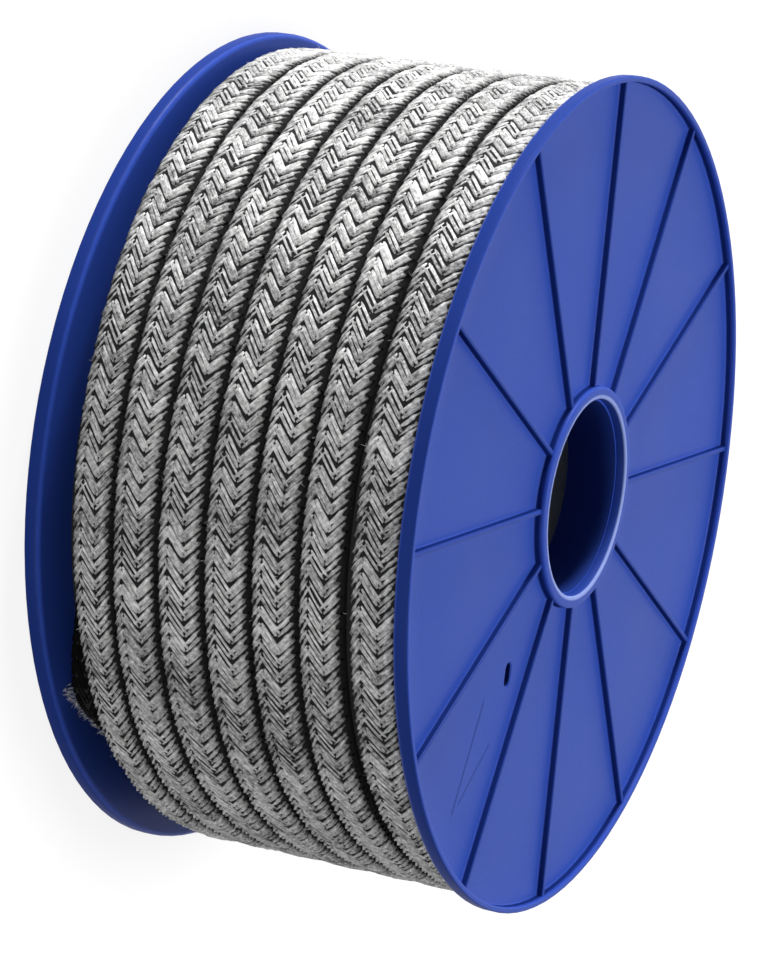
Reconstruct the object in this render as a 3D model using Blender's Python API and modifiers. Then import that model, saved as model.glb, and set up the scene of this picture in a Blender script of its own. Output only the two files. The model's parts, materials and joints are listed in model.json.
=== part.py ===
"""Moulded plastic reel wound with braided graphite gland packing.

The reel stands on its end: its axis is +Z and the outer face of the bottom flange
lies in the plane z = 0. Units are metres.
"""

import math

import bmesh
import bpy
from mathutils import Matrix, Vector

# Reel
FLANGE_RADIUS = 0.110
REEL_WIDTH = 0.1045
RIM_WIDTH = 0.0042
RIM_ROUND = 0.0015
PLATE_THICKNESS = 0.0015
LIP_WALL = 0.0016
BORE_RADIUS = 0.0255
MOUTH_STEP = 0.0006
COLLAR_WALL = 0.0032
SPIGOT_WALL = 0.0031
SPIGOT_LENGTH = 0.01245
CORE_WALL = 0.0035

# Ribs on the outer face of a flange
RIB_COUNT = 12
RIB_ANGLE = math.radians(-19.0)
RIB_HEIGHT = 0.0018
RIB_WALL = 0.0015
RIB_DRAFT = 0.0002
RIB_SINK = 0.0007

# Slot that holds the inner end of the packing
SLOT_RADIUS = 0.0553
SLOT_ANGLE = math.radians(59.6)
SLOT_TURN = math.radians(98.0)
SLOT_LENGTH = 0.0062
SLOT_WIDTH = 0.0022
SLOT_ROUND = 0.00105

# Packing
PACKING_SIZE = 0.0127
TURN_PITCH = 0.0128
LAST_TURN_SLACK = 0.0012
EDGE_MARGIN = 0.0027
CORNER_RADIUS = 0.0023
CROWN = 0.0004
CROSSING_START = math.radians(40.0)
CROSSING_SPAN = math.radians(85.0)
CREEP_SHARE = 0.3
LAST_TURN_HOLD = 1.8
THINNEST_TURN = 0.0006

# Cut end of the packing, tucked between the bottom flange and the first turn
END_ANGLE = math.radians(47.5)
END_RISE_ANGLE = math.radians(50.0)
END_DEPTH = 0.0008
END_CUT_ANGLE = math.radians(28.0)

# Fits
FIT_GAP = 0.0003
EDGE_ROUND = 0.0004

# Facets
TURNED_STEPS = 60
WINDING_STEPS = 64
SIDE_STEPS = 3
END_STEPS = 12
ARC_STEPS = 2
WELD_DISTANCE = 0.00001

MOUTH_RADIUS = BORE_RADIUS + MOUTH_STEP
COLLAR_RADIUS = MOUTH_RADIUS + COLLAR_WALL
SPIGOT_RADIUS = BORE_RADIUS + SPIGOT_WALL
CORE_INNER_RADIUS = SPIGOT_RADIUS + FIT_GAP
CORE_RADIUS = CORE_INNER_RADIUS + CORE_WALL
FIELD_DEPTH = RIM_WIDTH - PLATE_THICKNESS
LOWER_FACE = RIM_WIDTH + FIT_GAP
UPPER_FACE = REEL_WIDTH - RIM_WIDTH - FIT_GAP

TURN_COUNT = int((UPPER_FACE - LOWER_FACE - LAST_TURN_SLACK) / TURN_PITCH)
FREE_WIDTH = UPPER_FACE - LOWER_FACE - TURN_COUNT * TURN_PITCH - LAST_TURN_SLACK
FIRST_EDGE = LOWER_FACE + FREE_WIDTH
EDGE_WANDER = 0.7 * FREE_WIDTH
WANDER_PHASE = math.radians(15.0)
WANDER_DECAY = 0.2
WINDING_RADIUS = FLANGE_RADIUS - EDGE_MARGIN
LAYER_RADIUS = WINDING_RADIUS - PACKING_SIZE
SEAM_RADIUS = WINDING_RADIUS - 1.5 * CORNER_RADIUS
WINDING_BORE = CORE_RADIUS + FIT_GAP


def clear_scene():
    """Remove what the file holds before the model is made."""
    for old in list(bpy.data.objects):
        bpy.data.objects.remove(old, do_unlink=True)


def make_collection(name):
    """Return a new collection that is linked to the scene."""
    collection = bpy.data.collections.new(name)
    bpy.context.scene.collection.children.link(collection)
    return collection


def make_material(name, colour, roughness, metallic=0.0):
    """Return a plain Principled material."""
    material = bpy.data.materials.new(name)
    material.use_nodes = True
    shader = material.node_tree.nodes["Principled BSDF"]
    shader.inputs["Base Color"].default_value = (*colour, 1.0)
    shader.inputs["Roughness"].default_value = roughness
    shader.inputs["Metallic"].default_value = metallic
    return material


def link_mesh(name, mesh, collection, material=None):
    """Make an object of a mesh in a collection."""
    obj = bpy.data.objects.new(name, mesh)
    collection.objects.link(obj)
    if material:
        mesh.materials.clear()
        mesh.materials.append(material)
    return obj


def mesh_from(name, bm):
    """Turn a bmesh into a mesh."""
    mesh = bpy.data.meshes.new(name)
    bm.to_mesh(mesh)
    bm.free()
    return mesh


def as_guide(obj):
    """Keep a cutter or a guide out of the model."""
    obj.hide_render = True
    obj.display_type = "WIRE"
    return obj


def shade_round(mesh, angle):
    """Shade a mesh smooth and keep its true edges sharp."""
    mesh.shade_smooth()
    mesh.set_sharp_from_angle(angle=math.radians(angle))


def rounded(corners):
    """Return an outline whose corners (x, z, radius) are rounded by short arcs."""
    outline = []
    for index, (x, z, radius) in enumerate(corners):
        here = Vector((x, z))
        if radius == 0.0:
            outline.append(here)
            continue
        before = Vector(corners[index - 1][:2])
        after = Vector(corners[(index + 1) % len(corners)][:2])
        start = here + (before - here).normalized() * radius
        end = here + (after - here).normalized() * radius
        centre = start + end - here
        for step in range(ARC_STEPS + 1):
            spoke = (start - centre).slerp(end - centre, step / ARC_STEPS)
            outline.append(centre + radius * spoke)
    return outline


def turned(name, corners, collection):
    """Turn a closed outline about the Z axis; it runs down its outer side."""
    outline = rounded(corners)
    bm = bmesh.new()
    points = [bm.verts.new((point.x, 0.0, point.y)) for point in outline]
    for index, point in enumerate(points):
        bm.edges.new((point, points[(index + 1) % len(points)]))
    obj = link_mesh(name, mesh_from(name, bm), collection)
    screw = obj.modifiers.new("Turn", "SCREW")
    screw.steps = TURNED_STEPS
    screw.render_steps = TURNED_STEPS
    screw.use_merge_vertices = True
    screw.merge_threshold = WELD_DISTANCE
    return obj


def combine(obj, other, operation):
    """Join or cut an object by another with a Boolean modifier."""
    boolean = obj.modifiers.new(other.name, "BOOLEAN")
    boolean.operation = operation
    boolean.solver = "EXACT"
    boolean.object = other


def finished_mesh(blank, name):
    """Return the mesh that a blank's modifiers make, shaded for a round piece."""
    graph = bpy.context.evaluated_depsgraph_get()
    mesh = bpy.data.meshes.new_from_object(blank.evaluated_get(graph))
    mesh.name = name
    shade_round(mesh, 35.0)
    return mesh


def rib_boxes(guides):
    """Twelve drafted ribs from the collar to the lip, sunk a little into all three."""
    inner = COLLAR_RADIUS - RIB_SINK
    outer = FLANGE_RADIUS - LIP_WALL + RIB_SINK
    bottom = -FIELD_DEPTH - RIB_SINK
    height = RIB_HEIGHT + RIB_SINK
    bm = bmesh.new()
    for index in range(RIB_COUNT):
        angle = RIB_ANGLE + index * math.tau / RIB_COUNT
        place = Matrix.Rotation(angle, 4, "Z")
        place = place @ Matrix.Translation(((inner + outer) / 2, 0.0, bottom + height / 2))
        place = place @ Matrix.Diagonal((outer - inner, RIB_WALL, height, 1.0))
        box = bmesh.ops.create_cube(bm, size=1.0, matrix=place)
        across = Vector((-math.sin(angle), math.cos(angle), 0.0))
        for vert in box["verts"]:
            if vert.co.z > bottom + height / 2:
                side = math.copysign(1.0, vert.co.dot(across))
                vert.co -= across * side * RIB_DRAFT
    return as_guide(link_mesh("rib_boxes", mesh_from("rib_boxes", bm), guides))


def slot_cutter(guides):
    """A round-ended bar through the plate of the flange, taller than it is long."""
    bm = bmesh.new()
    depth = SLOT_LENGTH + PLATE_THICKNESS
    place = Matrix.Rotation(SLOT_ANGLE, 4, "Z")
    place = place @ Matrix.Translation((SLOT_RADIUS, 0.0, -FIELD_DEPTH - PLATE_THICKNESS / 2))
    place = place @ Matrix.Rotation(SLOT_TURN - SLOT_ANGLE, 4, "Z")
    size = Matrix.Diagonal((SLOT_LENGTH, SLOT_WIDTH, depth, 1.0))
    bmesh.ops.create_cube(bm, size=1.0, matrix=size)
    upright = [edge for edge in bm.edges if edge.calc_length() > depth - WELD_DISTANCE]
    bmesh.ops.bevel(bm, geom=upright, offset=SLOT_ROUND, segments=3, profile=0.5,
                    affect="EDGES")
    bmesh.ops.transform(bm, matrix=place, verts=bm.verts)
    return as_guide(link_mesh("slot_cutter", mesh_from("slot_cutter", bm), guides))


def flange_mesh(guides):
    """One moulded flange, outer face at z = 0 and spigot pointing down."""
    spigot_end = -RIM_WIDTH - SPIGOT_LENGTH
    corners = [
        (MOUTH_RADIUS, 0.0, EDGE_ROUND),
        (COLLAR_RADIUS, 0.0, EDGE_ROUND),
        (COLLAR_RADIUS, -FIELD_DEPTH, 0.0),
        (FLANGE_RADIUS - LIP_WALL, -FIELD_DEPTH, 0.0),
        (FLANGE_RADIUS - LIP_WALL, 0.0, EDGE_ROUND),
        (FLANGE_RADIUS, 0.0, EDGE_ROUND),
        (FLANGE_RADIUS, -RIM_WIDTH, RIM_ROUND),
        (SPIGOT_RADIUS, -RIM_WIDTH, 0.0),
        (SPIGOT_RADIUS, spigot_end, EDGE_ROUND),
        (BORE_RADIUS, spigot_end, 0.0),
        (BORE_RADIUS, -FIELD_DEPTH, 0.0),
        (MOUTH_RADIUS, -FIELD_DEPTH, 0.0),
    ]
    blank = as_guide(turned("flange_blank", corners, guides))
    combine(blank, rib_boxes(guides), "UNION")
    combine(blank, slot_cutter(guides), "DIFFERENCE")
    return finished_mesh(blank, "flange")


def add_flanges(reel, guides, plastic):
    """The two flanges, both from the same mould, facing outwards."""
    mesh = flange_mesh(guides)
    top = link_mesh("top_flange", mesh, reel, plastic)
    top.location.z = REEL_WIDTH
    bottom = link_mesh("bottom_flange", mesh, reel, plastic)
    bottom.rotation_euler.x = math.pi


def add_core_tube(reel, guides, board):
    """The tube between the flanges, pushed over both spigots."""
    corners = [
        (CORE_INNER_RADIUS, UPPER_FACE, 0.0),
        (CORE_RADIUS, UPPER_FACE, 0.0),
        (CORE_RADIUS, LOWER_FACE, 0.0),
        (CORE_INNER_RADIUS, LOWER_FACE, 0.0),
    ]
    blank = as_guide(turned("core_blank", corners, guides))
    link_mesh("core_tube", finished_mesh(blank, "core_tube"), reel, board)


def smooth_step(share):
    """Ease from 0 to 1."""
    share = min(max(share, 0.0), 1.0)
    return share * share * (3.0 - 2.0 * share)


def polar(radius, angle, height):
    """A point at an angle about the reel's axis."""
    return Vector((radius * math.cos(angle), radius * math.sin(angle), height))


def loft(name, columns, closed):
    """Skin a row of sections that all have the same number of points."""
    bm = bmesh.new()
    rows = [[bm.verts.new(point) for point in column] for column in columns]
    for first, second in zip(rows, rows[1:]):
        for index, point in enumerate(first):
            bm.faces.new((point, first[index - 1], second[index - 1], second[index]))
    if not closed:
        bm.faces.new(rows[0])
        bm.faces.new(rows[-1])
    bmesh.ops.remove_doubles(bm, verts=bm.verts, dist=WELD_DISTANCE)
    bmesh.ops.recalc_face_normals(bm, faces=bm.faces)
    return mesh_from(name, bm)


def slide(climbed, rounds):
    """Share of a pitch that a seam has moved along the reel at an angle of its round.

    Most of it is the crossing. Turns near the bottom flange also creep all the way.
    """
    creep = CREEP_SHARE * (1.0 - rounds / (TURN_COUNT - 1))
    return (1.0 - creep) * smooth_step(climbed / CROSSING_SPAN) + creep * climbed / math.tau


def free_edge(angle):
    """Height of the first turn's free side, which wanders along the reel."""
    return FIRST_EDGE + EDGE_WANDER * math.sin(angle + WANDER_PHASE)


def seam_height(rounds, climbed):
    """Height of the seam between two turns, at an angle climbed in its round."""
    pitches = rounds + slide(climbed, rounds)
    angle = CROSSING_START + climbed
    wander = (free_edge(angle) - FIRST_EDGE) * WANDER_DECAY ** pitches
    slack = LAST_TURN_SLACK * max(pitches - (TURN_COUNT - 1), 0.0)
    height = FIRST_EDGE + TURN_PITCH * pitches + slack + wander
    if height < free_edge(angle) + THINNEST_TURN:
        return free_edge(angle)
    if height > UPPER_FACE - THINNEST_TURN:
        return UPPER_FACE
    return height


def turn_section():
    """Half-round sides and a low crown, as (share of width, share of height)."""
    side = CORNER_RADIUS / TURN_PITCH
    shoulder = 1.0 - CROWN / (WINDING_RADIUS - SEAM_RADIUS)
    arc = [step * math.pi / 2 / SIDE_STEPS for step in range(SIDE_STEPS + 1)]
    half = [(side * (1.0 - math.cos(angle)), shoulder * math.sin(angle)) for angle in arc]
    return half + [(0.5, 1.0)] + [(1.0 - width, height) for width, height in half[::-1]]


def winding_column(climbed, section):
    """The closed section of the winding at one angle, from bore to turns and back."""
    angle = CROSSING_START + climbed
    seams = [free_edge(angle)]
    seams += [seam_height(rounds, climbed) for rounds in range(TURN_COUNT)]
    seams.append(UPPER_FACE)
    first_grown = slide(climbed, 0) if seams[1] > seams[0] else 1.0
    last_left = 1.0 - slide(climbed, TURN_COUNT - 1) if seams[-1] > seams[-2] else 1.0
    growth = [1.0] * (TURN_COUNT + 1)
    growth[0] = smooth_step(first_grown)
    growth[-1] = smooth_step(LAST_TURN_HOLD * last_left)
    sunk = SEAM_RADIUS - LAYER_RADIUS
    radii = [SEAM_RADIUS] * (TURN_COUNT + 2)
    radii[0] -= sunk * (1.0 - growth[0])
    radii[-1] -= sunk * (1.0 - growth[-1])
    column = [
        polar(WINDING_BORE, angle, LOWER_FACE),
        polar(LAYER_RADIUS, angle, LOWER_FACE),
        polar(LAYER_RADIUS, angle, seams[0]),
    ]
    for strip, grown in enumerate(growth):
        width = seams[strip + 1] - seams[strip]
        crest = (WINDING_RADIUS - SEAM_RADIUS) * grown if width > 0.0 else 0.0
        for across, rise in section[:-1]:
            base = radii[strip] + (radii[strip + 1] - radii[strip]) * across
            if width == 0.0:
                base = SEAM_RADIUS
            column.append(polar(base + crest * rise, angle, seams[strip] + width * across))
    column.append(polar(radii[-1], angle, UPPER_FACE))
    column.append(polar(WINDING_BORE, angle, UPPER_FACE))
    return column


def packing_end(guides):
    """The cut end of the packing: it rises beside the first turn and stops on a slant."""
    start = END_ANGLE - END_RISE_ANGLE
    half = PACKING_SIZE / 2
    side = CORNER_RADIUS
    outline = [
        (-half, -half + side), (-half, half - side), (side - half, half),
        (half - side, half), (half, half - side), (half, -half + side),
        (half - side, -half), (side - half, -half),
    ]
    columns = []
    for step in range(END_STEPS + 1):
        share = step / END_STEPS
        lift = smooth_step(share) * (PACKING_SIZE - END_DEPTH)
        centre = LAYER_RADIUS - half - FIT_GAP + lift
        column = []
        for along, outwards in outline:
            height = LOWER_FACE + half + along
            slant = along / math.tan(END_CUT_ANGLE) / WINDING_RADIUS
            angle = start + (END_RISE_ANGLE + slant) * share
            column.append(polar(centre + outwards, angle, height))
        columns.append(column)
    return as_guide(link_mesh("packing_end", loft("packing_end", columns, False), guides))


def add_winding(reel, guides, graphite):
    """The turns of packing as one solid, each seam climbing one pitch a round.

    In the crossing the first turn grows out of the layer below and the last one dies
    out at the top flange, so the section at the end of a round fits the one at its start.
    """
    section = turn_section()
    columns = [
        winding_column(step * math.tau / WINDING_STEPS, section)
        for step in range(WINDING_STEPS + 1)
    ]
    winding = link_mesh("packing_winding", loft("winding", columns, True), reel, graphite)
    combine(winding, packing_end(guides), "UNION")
    shade_round(winding.data, 50.0)


def build():
    """Make the whole reel."""
    clear_scene()
    reel = make_collection("packing_reel")
    guides = make_collection("guides")
    plastic = make_material("blue_plastic", (0.065, 0.105, 0.46), 0.38)
    board = make_material("grey_board", (0.07, 0.08, 0.075), 0.85)
    graphite = make_material("graphite_braid", (0.30, 0.30, 0.29), 0.5, 0.35)
    add_flanges(reel, guides, plastic)
    add_core_tube(reel, guides, board)
    add_winding(reel, guides, graphite)


build()
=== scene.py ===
import json
import math
import random

import bmesh
import bpy
from mathutils import Matrix, Vector

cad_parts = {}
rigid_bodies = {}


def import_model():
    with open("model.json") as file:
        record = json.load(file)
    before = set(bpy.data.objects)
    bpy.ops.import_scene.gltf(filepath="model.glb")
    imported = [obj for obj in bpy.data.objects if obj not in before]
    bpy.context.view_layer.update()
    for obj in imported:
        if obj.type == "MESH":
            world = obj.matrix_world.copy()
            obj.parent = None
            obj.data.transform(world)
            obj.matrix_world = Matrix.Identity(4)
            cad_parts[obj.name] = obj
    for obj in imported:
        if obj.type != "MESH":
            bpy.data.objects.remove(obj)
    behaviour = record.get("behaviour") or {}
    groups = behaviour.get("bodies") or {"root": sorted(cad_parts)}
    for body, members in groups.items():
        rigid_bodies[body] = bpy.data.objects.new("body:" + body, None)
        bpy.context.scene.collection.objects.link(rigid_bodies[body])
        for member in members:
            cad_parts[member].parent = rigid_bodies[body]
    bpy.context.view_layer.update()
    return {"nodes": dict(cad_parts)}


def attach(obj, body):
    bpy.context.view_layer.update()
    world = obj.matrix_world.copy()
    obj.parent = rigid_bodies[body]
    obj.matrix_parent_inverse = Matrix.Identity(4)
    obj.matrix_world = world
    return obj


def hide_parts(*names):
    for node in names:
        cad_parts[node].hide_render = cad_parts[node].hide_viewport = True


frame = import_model()
print("frame:", ", ".join(sorted(frame["nodes"])))

reel = {
    "radius": 0.110,
    "width": 0.1045,
    "rim": 0.0042,           # thickness of a flange at its edge
    "rimRound": 0.0015,      # inner edge of the rim
    "plate": 0.0015,         # wall between the ribs
    "lip": 0.0016,
    "bore": 0.0255,
    "mouthStep": 0.0006,
    "collar": 0.0032,
    "spigotWall": 0.0031,
    "spigotLength": 0.01245,
    "coreWall": 0.0035,
    "gap": 0.0003,
}
mouthRadius = reel["bore"] + reel["mouthStep"]
collarRadius = mouthRadius + reel["collar"]
spigotRadius = reel["bore"] + reel["spigotWall"]
fieldDepth = reel["rim"] - reel["plate"]
lowerFace = reel["rim"] + reel["gap"]
upperFace = reel["width"] - reel["rim"] - reel["gap"]


def smoothStep(share):
    share = min(max(share, 0.0), 1.0)
    return share * share * (3.0 - 2.0 * share)


def polar(radius, angle, height):
    return (radius * math.cos(angle), radius * math.sin(angle), height)


def addObject(name, mesh, material=None):
    piece = bpy.data.objects.new(name, mesh)
    bpy.context.scene.collection.objects.link(piece)
    if material:
        mesh.materials.clear()
        mesh.materials.append(material)
    return piece


def skin(name, columns, weld=1e-6, closedRound=False, capped=False):
    # a tube of quads through columns of points, every column a closed outline
    bm = bmesh.new()
    rows = [[bm.verts.new(point) for point in column] for column in columns]
    pairs = list(zip(rows, rows[1:]))
    if closedRound:
        pairs.append((rows[-1], rows[0]))
    for first, second in pairs:
        for index, point in enumerate(first):
            bm.faces.new((point, first[index - 1], second[index - 1], second[index]))
    if capped:
        bm.faces.new(rows[0])
        bm.faces.new(rows[-1])
    bmesh.ops.remove_doubles(bm, verts=bm.verts, dist=weld)
    bmesh.ops.dissolve_degenerate(bm, edges=bm.edges, dist=weld)
    bmesh.ops.recalc_face_normals(bm, faces=bm.faces)
    mesh = bpy.data.meshes.new(name)
    bm.to_mesh(mesh)
    bm.free()
    return mesh


def shadeRound(mesh, degrees):
    mesh.shade_smooth()
    mesh.set_sharp_from_angle(angle=math.radians(degrees))


def takeResult(source, name):
    # the evaluated object as a plain mesh
    bpy.context.view_layer.update()
    graph = bpy.context.evaluated_depsgraph_get()
    mesh = bpy.data.meshes.new_from_object(source.evaluated_get(graph), depsgraph=graph)
    mesh.name = name
    return mesh


def countTriangles(piece):
    return sum(len(face.vertices) - 2 for face in piece.data.polygons)


def dress(piece, slot, *nodes):
    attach(piece, "root")
    if nodes:
        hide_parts(*nodes)


def newMaterial(name):
    material = bpy.data.materials.new(name)
    material.use_nodes = True
    tree = material.node_tree
    return material, tree, tree.nodes["Principled BSDF"]


def addNode(tree, kind, settings=None, **sockets):
    # sockets are values or output sockets, by the input's name with _ for a space, or by
    # i and its number
    node = tree.nodes.new(kind)
    for key, value in (settings or {}).items():
        setattr(node, key, value)
    for key, value in sockets.items():
        wanted = int(key[1:]) if key[0] == "i" and key[1:].isdigit() else key.replace("_", " ")
        if isinstance(value, bpy.types.NodeSocket):
            tree.links.new(value, node.inputs[wanted])
        else:
            node.inputs[wanted].default_value = value
    return node


def maths(tree, operation, first, second=0.0):
    node = addNode(tree, "ShaderNodeMath", {"operation": operation}, i0=first, i1=second)
    return node.outputs[0]


def remap(tree, value, fromLow, fromHigh, toLow, toHigh):
    node = addNode(tree, "ShaderNodeMapRange", None, Value=value, From_Min=fromLow,
                   From_Max=fromHigh, To_Min=toLow, To_Max=toHigh)
    return node.outputs[0]


def mixColour(tree, share, first, second):
    node = addNode(tree, "ShaderNodeMix", {"data_type": "RGBA"}, i0=share, i6=first, i7=second)
    return node.outputs[2]


def spreadNoise(tree, noise, low, high):
    # a noise lies mostly between 0.3 and 0.7
    return remap(tree, noise, 0.3, 0.7, low, high)


def bumped(tree, shader, height, strength, distance):
    node = addNode(tree, "ShaderNodeBump", None, Height=height, Strength=strength,
                   Distance=distance)
    tree.links.new(node.outputs[0], shader.inputs["Normal"])


def objectPlace(tree):
    return addNode(tree, "ShaderNodeTexCoord").outputs["Object"]


def objectAxes(tree):
    return addNode(tree, "ShaderNodeSeparateXYZ", None, Vector=objectPlace(tree)).outputs


def objectNoise(tree, scale, detail=3.0, roughness=0.5):
    node = addNode(tree, "ShaderNodeTexNoise", None, Vector=objectPlace(tree), Scale=scale,
                   Detail=detail, Roughness=roughness)
    return node.outputs[0]


plastic = {
    "colour": (0.022, 0.060, 0.36, 1.0),
    "paler": (0.028, 0.072, 0.40, 1.0),
    "cloudScale": 22.0,
    "grainScale": 1500.0,
    "grainBump": (0.12, 0.0001),
    "wearBand": (0.1, 0.45),
    "roughness": (0.38, 0.50),
    "specular": 0.10,
    "shadeAndScratchLevel": 0.42,           # what is left of the colour where shade is painted on the walls and the rim's edge, and on the scratches
    "wallShadeBand": (0.00012, 0.0004, 0.0013, 0.0020),     # heights over the plate where shade is painted on the walls
    "wallMargin": 0.0005,    # painted shade reaches this far inside the collar's wall
    "rimShade": 0.7,         # share of the painted shade on the rim's edge
    "rimBand": (0.0004, 0.0001),    # depths where it starts and is full
    # fine marks on the top flange: start, end and half width
    "marks": (((0.0409, 0.0536), (0.0499, 0.0846), 0.00028),
              ((0.0322, 0.0650), (0.0469, 0.0812), 0.00020)),
    "markDepth": 0.6,
    "markFull": 0.88,        # share of a mark's length with its full depth
    "mouthHighlight": (0.24, 0.31, 0.66, 1.0),
    "highlightWidth": 0.0010,   # painted highlight along the edge of the bore's mouth
    "highlightFade": 0.0002,
    "highlightBand": (0.0020, 0.0024),     # heights over the plate
}


def markMask(tree, axes, start, end, width):
    # 1 on a fine straight mark in the flange's plane
    run = Vector(end) - Vector(start)
    along = run.normalized()
    x = maths(tree, "SUBTRACT", axes[0], start[0])
    y = maths(tree, "SUBTRACT", axes[1], start[1])
    gone = maths(tree, "ADD", maths(tree, "MULTIPLY", x, along.x),
                 maths(tree, "MULTIPLY", y, along.y))
    aside = maths(tree, "SUBTRACT", maths(tree, "MULTIPLY", x, along.y),
                  maths(tree, "MULTIPLY", y, along.x))
    near = remap(tree, maths(tree, "ABSOLUTE", aside), width, 2.0 * width, 1.0, 0.0)
    half = run.length / 2
    past = maths(tree, "ABSOLUTE", maths(tree, "SUBTRACT", gone, half))
    within = remap(tree, past, half * plastic["markFull"], half, 1.0, 0.0)
    upper = maths(tree, "GREATER_THAN", axes[2], reel["width"] / 2)
    return maths(tree, "MULTIPLY", maths(tree, "MULTIPLY", near, within), upper)


def abovePlate(tree, axes):
    # height over the plate of the nearer flange's outer face
    middle = maths(tree, "SUBTRACT", axes[2], reel["width"] / 2)
    plateLevel = reel["width"] / 2 - fieldDepth
    return maths(tree, "SUBTRACT", maths(tree, "ABSOLUTE", middle), plateLevel)


def axisDistance(tree, axes):
    # distance from the reel's axis
    flat = addNode(tree, "ShaderNodeCombineXYZ", None, X=axes[0], Y=axes[1], Z=0.0).outputs[0]
    node = addNode(tree, "ShaderNodeVectorMath", {"operation": "LENGTH"}, i0=flat)
    return node.outputs["Value"]


def wallMask(tree, above, out):
    # 1 on the walls that stand on the plate, within the rim's outer edge, where shade is painted
    start, full, fading, end = plastic["wallShadeBand"]
    band = maths(tree, "MULTIPLY", remap(tree, above, start, full, 0.0, 1.0),
                 remap(tree, above, fading, end, 1.0, 0.0))
    inside = maths(tree, "LESS_THAN", out, reel["radius"] - reel["lip"] / 2)
    outside = maths(tree, "GREATER_THAN", out, collarRadius - plastic["wallMargin"])
    return maths(tree, "MULTIPLY", band, maths(tree, "MULTIPLY", inside, outside))


def mouthMask(tree, above, out):
    # 1 on the edge of the bore's mouth, where a highlight is painted
    edge, fade = mouthRadius + plastic["highlightWidth"], plastic["highlightFade"]
    near = remap(tree, out, edge - fade, edge + fade, 1.0, 0.0)
    high = remap(tree, above, *plastic["highlightBand"], 0.0, 1.0)
    return maths(tree, "MULTIPLY", near, high)


def rimMask(tree, out):
    # painted shade on the rim's outer edge
    start, full = (reel["radius"] - depth for depth in plastic["rimBand"])
    return remap(tree, out, start, full, 0.0, plastic["rimShade"])


def plasticMaterial():
    material, tree, shader = newMaterial("bluePlastic")
    cloud = objectNoise(tree, plastic["cloudScale"], 2.0)
    grain = objectNoise(tree, plastic["grainScale"])
    colour = mixColour(tree, cloud, plastic["colour"], plastic["paler"])
    axes = objectAxes(tree)
    above, out = abovePlate(tree, axes), axisDistance(tree, axes)
    # painted shade on the walls and the rim's edge; the real scratches join it below
    dark = maths(tree, "MAXIMUM", wallMask(tree, above, out), rimMask(tree, out))
    for start, end, width in plastic["marks"]:
        mark = markMask(tree, axes, start, end, width)
        mark = maths(tree, "MULTIPLY", mark, plastic["markDepth"])
        dark = maths(tree, "MAXIMUM", dark, mark)
    shadedOrScratched = tuple(level * plastic["shadeAndScratchLevel"] for level in plastic["colour"][:3]) + (1.0,)
    # the painted shade and the scratches darken the colour
    colour = mixColour(tree, dark, colour, shadedOrScratched)
    # painted highlight on the edge of the bore's mouth
    colour = mixColour(tree, mouthMask(tree, above, out), colour, plastic["mouthHighlight"])
    tree.links.new(colour, shader.inputs["Base Color"])
    wear = remap(tree, maths(tree, "MULTIPLY", cloud, grain), *plastic["wearBand"],
                 *plastic["roughness"])
    tree.links.new(wear, shader.inputs["Roughness"])
    # no reflection where shade is painted, nor on the scratches
    tree.links.new(remap(tree, dark, 0.0, 1.0, plastic["specular"], 0.0),
                   shader.inputs["Specular IOR Level"])
    bumped(tree, shader, grain, *plastic["grainBump"])
    return material


flange = {
    "ribs": 12,
    "ribAngle": math.radians(-19.0),
    "ribHeight": 0.0018,
    # half section of a rib: (distance from its middle, share of its height)
    "ribSection": ((0.0, 1.0), (0.00042, 0.99), (0.00060, 0.93), (0.00070, 0.74),
                   (0.00075, 0.30), (0.00084, 0.10), (0.00105, 0.0)),
    "between": 8,            # columns of points between two ribs
    "longest": 0.012,        # of a face along the outline
    "edgeRound": 0.00045,
    "collarRound": 0.0007,
    "footRound": 0.0006,
    "arcSteps": 4,
    "slotRadius": 0.0553,
    "slotAngle": math.radians(59.6),
    "slotTurn": math.radians(98.0),
    "slotLength": 0.0062,
    "slotWidth": 0.0036,
    "slotFlare": 0.0003,
    "slotSteps": 24,
    "smoothTo": 32.0,        # degrees, edges sharper than this stay sharp
}


def flangeProfile():
    # closed outline (radius, height, ribs reach here), outer face at height 0
    end = -reel["rim"] - reel["spigotLength"]
    inner = reel["radius"] - reel["lip"]
    edge, foot = flange["edgeRound"], flange["footRound"]
    corners = [
        (mouthRadius, 0.0, edge, False),
        (collarRadius, 0.0, flange["collarRound"], True),
        (collarRadius, -fieldDepth, foot, True),
        (inner, -fieldDepth, foot, True),
        (inner, 0.0, edge, True),
        (reel["radius"], 0.0, edge, False),
        (reel["radius"], -reel["rim"], reel["rimRound"], False),
        (spigotRadius, -reel["rim"], foot, False),
        (spigotRadius, end, edge, False),
        (reel["bore"], end, edge, False),
        (reel["bore"], -fieldDepth, 0.0, False),
        (mouthRadius, -fieldDepth, 0.0, False),
    ]
    outline = []
    for index, (radius, height, curve, ribbed) in enumerate(corners):
        here = Vector((radius, height))
        if curve == 0.0:
            outline.append((here, ribbed))
            continue
        before = Vector(corners[index - 1][:2])
        after = Vector(corners[(index + 1) % len(corners)][:2])
        start = here + (before - here).normalized() * curve
        finish = here + (after - here).normalized() * curve
        centre = start + finish - here
        steps = flange["arcSteps"]
        for step in range(steps + 1):
            spoke = (start - centre).slerp(finish - centre, step / steps)
            outline.append((centre + curve * spoke, ribbed))
    filled = []
    for index, (point, ribbed) in enumerate(outline):
        filled.append((point, ribbed))
        after, afterRibbed = outline[(index + 1) % len(outline)]
        extra = int((after - point).length / flange["longest"])
        for step in range(1, extra + 1):
            filled.append((point.lerp(after, step / (extra + 1)), ribbed and afterRibbed))
    return filled


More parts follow.
